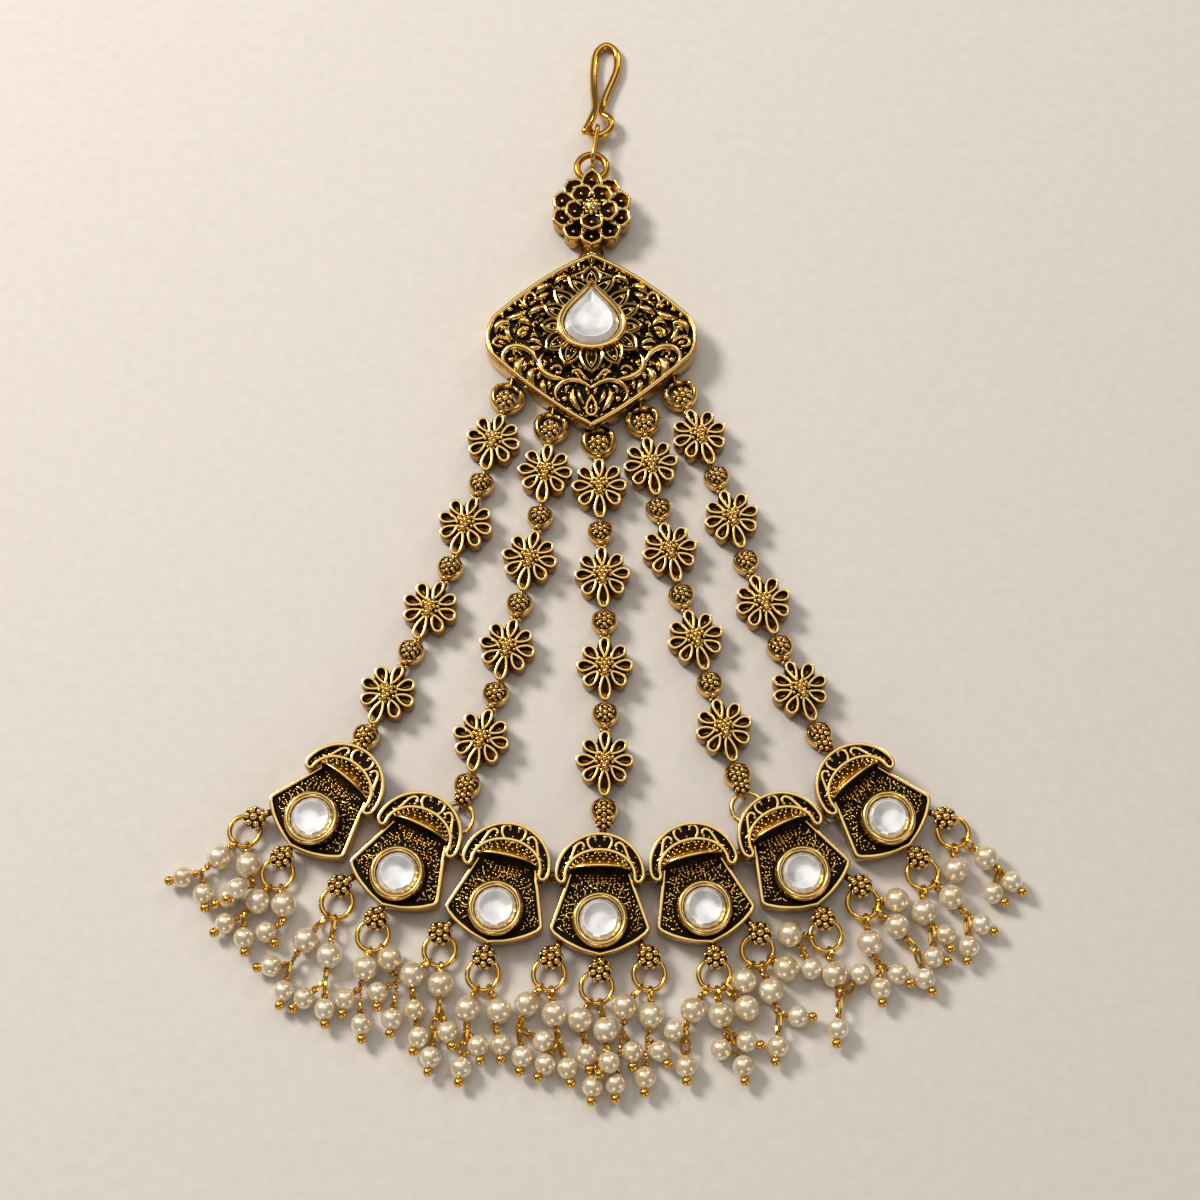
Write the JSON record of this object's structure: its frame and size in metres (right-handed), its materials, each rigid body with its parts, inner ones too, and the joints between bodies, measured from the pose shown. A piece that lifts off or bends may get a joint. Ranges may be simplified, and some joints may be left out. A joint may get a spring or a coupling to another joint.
{
  "type": "passa",
  "caption": "Side-of-head jewel in antique gold: hair hook, rosette and kite-shaped medallion, flower strands, an arc of hinged plaques with crystals, and a pearl fringe.",
  "frame": {"origin": "on the medallion's flat back, under the middle of its face", "axes": "+Z out of the jewel's face, +Y towards the hair hook, -Y towards the pearl fringe; laid face up on a level surface"},
  "size_m": [0.1027, 0.1449, 0.0063],
  "materials": {
    "polished_gold": "gold-plated wire, polished",
    "antique_gold": "cast filigree and granulation, gold-plated, dark in the recesses and burnished on the raised wires",
    "crystal": "faceted and foil-backed",
    "pearl": "cream pearl lustre, strung on polished gold wire"
  },
  "bodies": {
    "root": {"hair_hook": "polished_gold", "hook_link": "polished_gold", "rosette": "antique_gold", "medallion": "antique_gold", "pear_stone": "crystal", "strand_1_flower_1": "antique_gold", "strand_1_flower_2": "antique_gold", "strand_1_flower_3": "antique_gold", "strand_1_flower_4": "antique_gold", "strand_2_flower_1": "antique_gold", "strand_2_flower_2": "antique_gold", "strand_2_flower_3": "antique_gold", "strand_2_flower_4": "antique_gold", "strand_3_flower_1": "antique_gold", "strand_3_flower_2": "antique_gold", "strand_3_flower_3": "antique_gold", "strand_3_flower_4": "antique_gold", "strand_4_flower_1": "antique_gold", "strand_4_flower_2": "antique_gold", "strand_4_flower_3": "antique_gold", "strand_4_flower_4": "antique_gold", "strand_5_flower_1": "antique_gold", "strand_5_flower_2": "antique_gold", "strand_5_flower_3": "antique_gold", "strand_5_flower_4": "antique_gold", "strand_2_end_link": "antique_gold", "strand_4_end_link": "antique_gold", "plaque_1": "antique_gold", "round_stone_1": "crystal", "plaque_2": "antique_gold", "round_stone_2": "crystal", "plaque_3": "antique_gold", "round_stone_3": "crystal", "plaque_4": "antique_gold", "round_stone_4": "crystal", "plaque_5": "antique_gold", "round_stone_5": "crystal", "plaque_6": "antique_gold", "round_stone_6": "crystal", "plaque_7": "antique_gold", "round_stone_7": "crystal", "pearl_drop_1": "pearl", "pearl_drop_2": "pearl", "pearl_drop_3": "pearl", "pearl_drop_4": "pearl", "pearl_drop_5": "pearl", "pearl_drop_6": "pearl", "pearl_drop_7": "pearl", "pearl_drop_8": "pearl", "pearl_drop_9": "pearl", "pearl_drop_10": "pearl", "pearl_drop_11": "pearl", "pearl_drop_12": "pearl", "pearl_drop_13": "pearl", "pearl_drop_14": "pearl", "pearl_drop_15": "pearl"}
  },
  "joints": []
}
